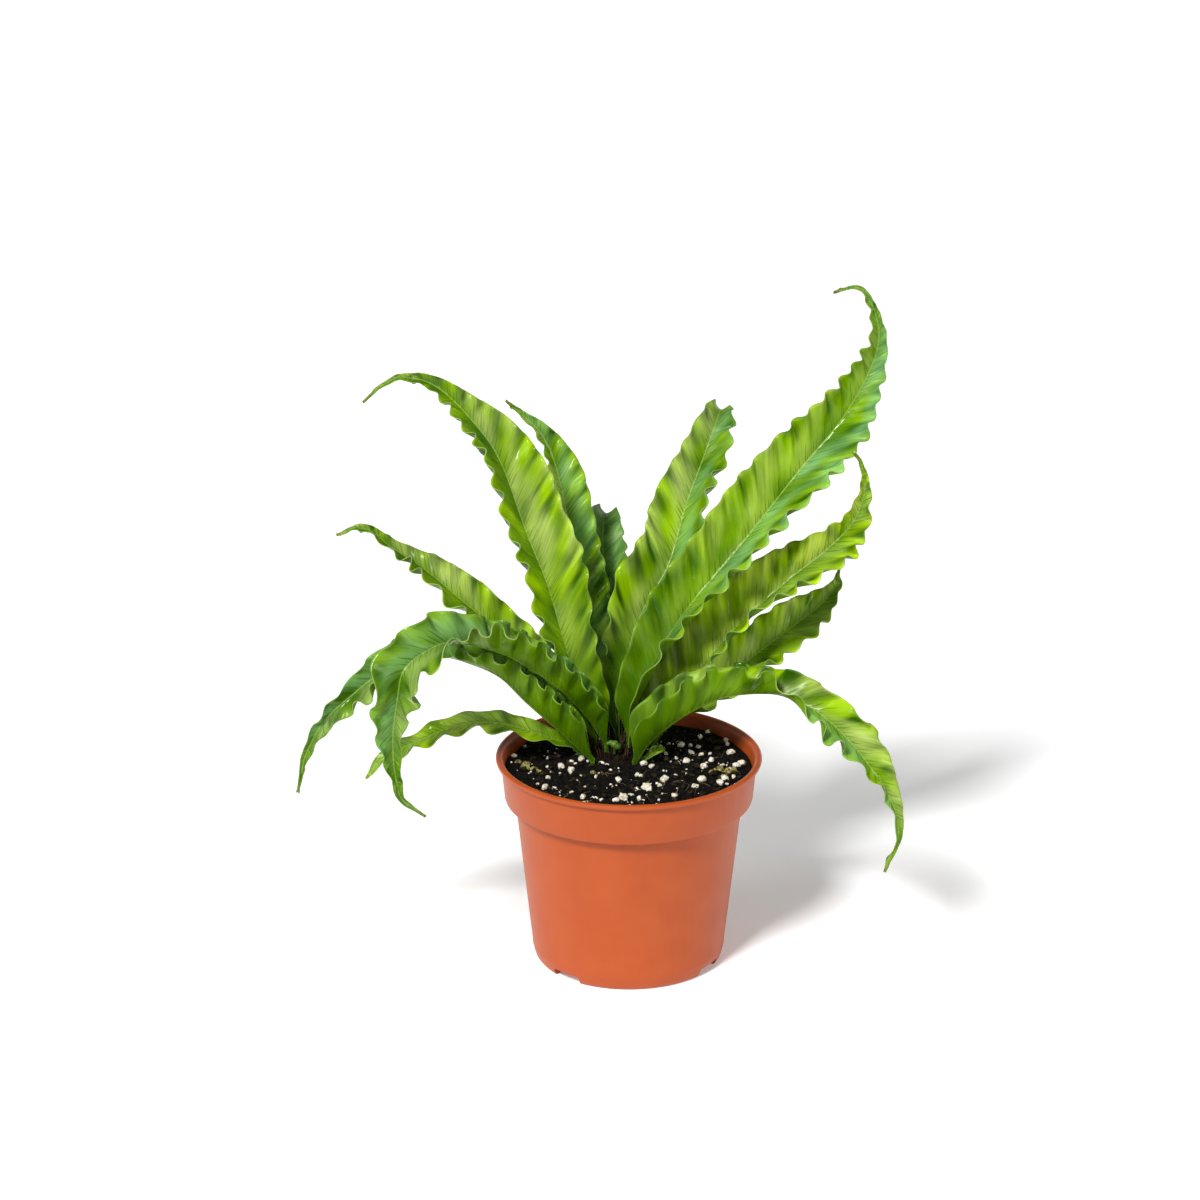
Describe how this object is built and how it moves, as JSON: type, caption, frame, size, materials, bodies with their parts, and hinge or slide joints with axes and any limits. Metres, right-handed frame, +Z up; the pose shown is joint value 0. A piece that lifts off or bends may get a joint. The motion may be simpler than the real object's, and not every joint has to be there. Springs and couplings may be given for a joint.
{
  "type": "potted osaka birds nest fern",
  "caption": "Young bird's nest fern with narrow, deeply ruffled strap fronds rising and arching from a low crown, in a round tapered plastic nursery pot of soil.",
  "frame": {"origin": "The middle of the plant's overall footprint, on the surface that the pot stands on. The pot's own axis stands 11.4 mm to the right of it and 31.8 mm in front of it.", "axes": "+Z up, +X to the plant's right as seen from the front, +Y toward the back. The front is the open side, where the soil shows."},
  "size_m": [0.2388, 0.1696, 0.2621],
  "materials": {
    "leaf": "glossy yellow-green living leaf, lighter along the midrib and the veins",
    "pot": "satin terracotta-orange moulded plastic",
    "soil": "damp near-black peat with white perlite grains and bits of bark",
    "crown": "dark brown fibrous scales"
  },
  "bodies": {
    "root": {"pot": "pot", "soil": "soil", "crown": "crown", "frond_right_tall": "leaf", "frond_left_tall": "leaf", "frond_middle": "leaf", "frond_left_inner": "leaf", "frond_back": "leaf", "frond_right_mid": "leaf", "frond_right_low": "leaf", "frond_right_arching": "leaf", "frond_left_mid": "leaf", "frond_left_arching": "leaf", "frond_left_drooping": "leaf", "frond_left_low": "leaf", "seedling_leaf": "leaf", "sprout": "leaf"}
  },
  "joints": []
}
